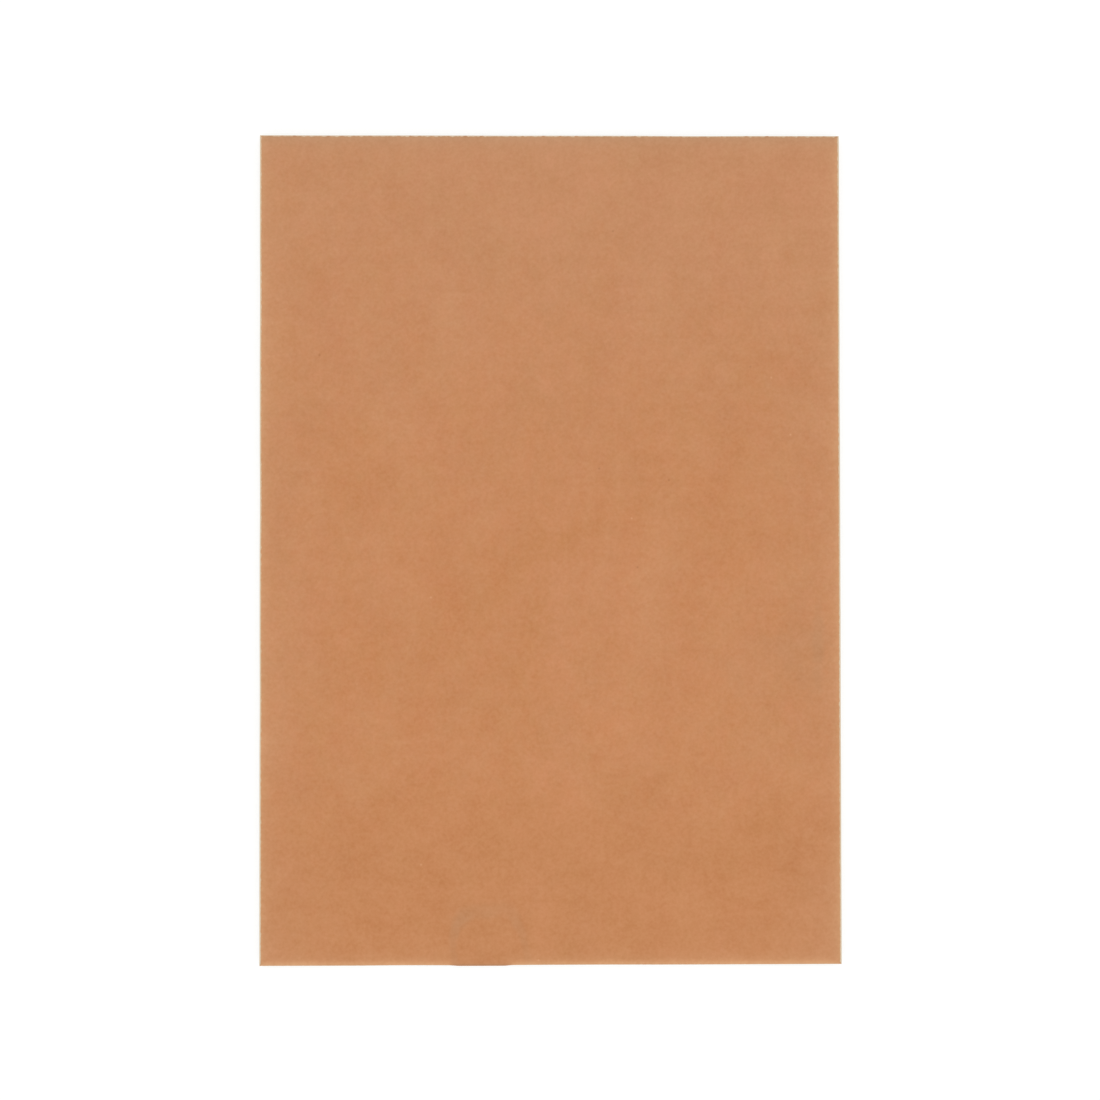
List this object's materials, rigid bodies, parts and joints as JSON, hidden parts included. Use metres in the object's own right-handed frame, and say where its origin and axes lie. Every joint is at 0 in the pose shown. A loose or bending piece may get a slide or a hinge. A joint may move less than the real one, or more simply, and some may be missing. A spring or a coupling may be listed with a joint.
{
  "type": "copper clad board",
  "caption": "Rectangular blank of glass-epoxy laminate with copper foil on its upper face and sheared edges, raw stock for making a circuit board.",
  "frame": {"origin": "middle of the flat underside, which rests on the floor", "axes": "+X across the board's width, +Y along its length, away from the edge with the snapped nub, +Z out of the copper face"},
  "size_m": [0.07, 0.1001, 0.0016],
  "materials": {
    "glass_epoxy": "gloss",
    "copper": "satin"
  },
  "bodies": {
    "root": {"base_laminate": "glass_epoxy", "copper_foil": "copper"}
  },
  "joints": []
}
